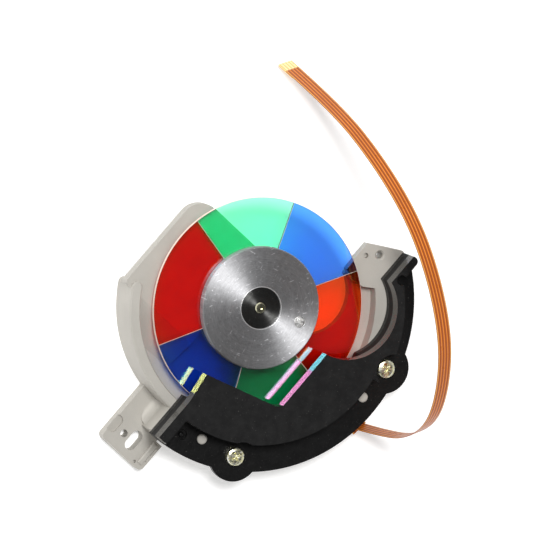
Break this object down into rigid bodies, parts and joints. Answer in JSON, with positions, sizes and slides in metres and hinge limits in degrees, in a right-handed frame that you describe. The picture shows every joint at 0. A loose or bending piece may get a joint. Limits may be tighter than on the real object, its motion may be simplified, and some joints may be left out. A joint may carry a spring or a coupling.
{
  "type": "projector color wheel",
  "caption": "Motor-driven ring of red, green and blue filter glass on a spun hub, in a cast bracket with a black cover and a flat flex tail.",
  "frame": {"origin": "on the wheel's axis, in the plane of the flat back", "axes": "+Z along the wheel's axis towards the hub's face; the mounting ear is to the lower left, towards -X and -Y"},
  "size_m": [0.0723, 0.0949, 0.0372],
  "materials": {
    "cast_alloy": "bead-blasted die casting",
    "black_plastic": "fine matte moulding",
    "yellow_zinc": "yellow zinc plate",
    "plated_steel": "plated sheet",
    "board_green": "solder mask",
    "turned_brass": "turned",
    "bronze": "sintered, oiled",
    "white_nylon": "plain",
    "core_steel": "laminated",
    "film_orange": "polyimide film over copper",
    "stiffener_blue": "polyimide stiffener",
    "ground_steel": "ground",
    "hub_nickel": "turned",
    "cup_steel": "pressed",
    "magnet_black": "bonded ferrite",
    "turned_aluminium": "spun, circular grain",
    "clear_glue": "clear resin",
    "copper_wire": "enamelled winding",
    "bright_steel": "zinc plate",
    "filter_red": "coated filter glass",
    "filter_green": "coated filter glass",
    "filter_blue": "coated filter glass"
  },
  "bodies": {
    "frame": {"bracket": "cast_alloy", "cover": "black_plastic", "cover_screw_left": "yellow_zinc", "cover_screw_right": "yellow_zinc", "motor_plate": "plated_steel", "motor_board": "board_green", "bearing_holder": "turned_brass", "sleeve_bearing": "bronze", "thrust_pad": "white_nylon", "stator_core": "core_steel", "flex_tail": "film_orange", "flex_end": "stiffener_blue", "coil_1": "copper_wire", "coil_2": "copper_wire", "coil_3": "copper_wire", "coil_4": "copper_wire", "coil_5": "copper_wire", "coil_6": "copper_wire", "coil_7": "copper_wire", "coil_8": "copper_wire", "coil_9": "copper_wire", "motor_screw_1": "bright_steel", "motor_screw_2": "bright_steel", "motor_screw_3": "bright_steel"},
    "wheel": {"shaft": "ground_steel", "rotor_hub": "hub_nickel", "rotor_cup": "cup_steel", "magnet_ring": "magnet_black", "clamp_disc": "turned_aluminium", "balance_drop": "clear_glue", "glass_red_a": "filter_red", "glass_red_b": "filter_red", "glass_green_a": "filter_green", "glass_green_b": "filter_green", "glass_blue_a": "filter_blue", "glass_blue_b": "filter_blue"}
  },
  "joints": [
    {"name": "wheel_spin", "type": "hinge", "parent": "frame", "child": "wheel", "pos_m": [0, 0, 0.0105], "axis": [0, 0, 1], "continuous": true}
  ]
}
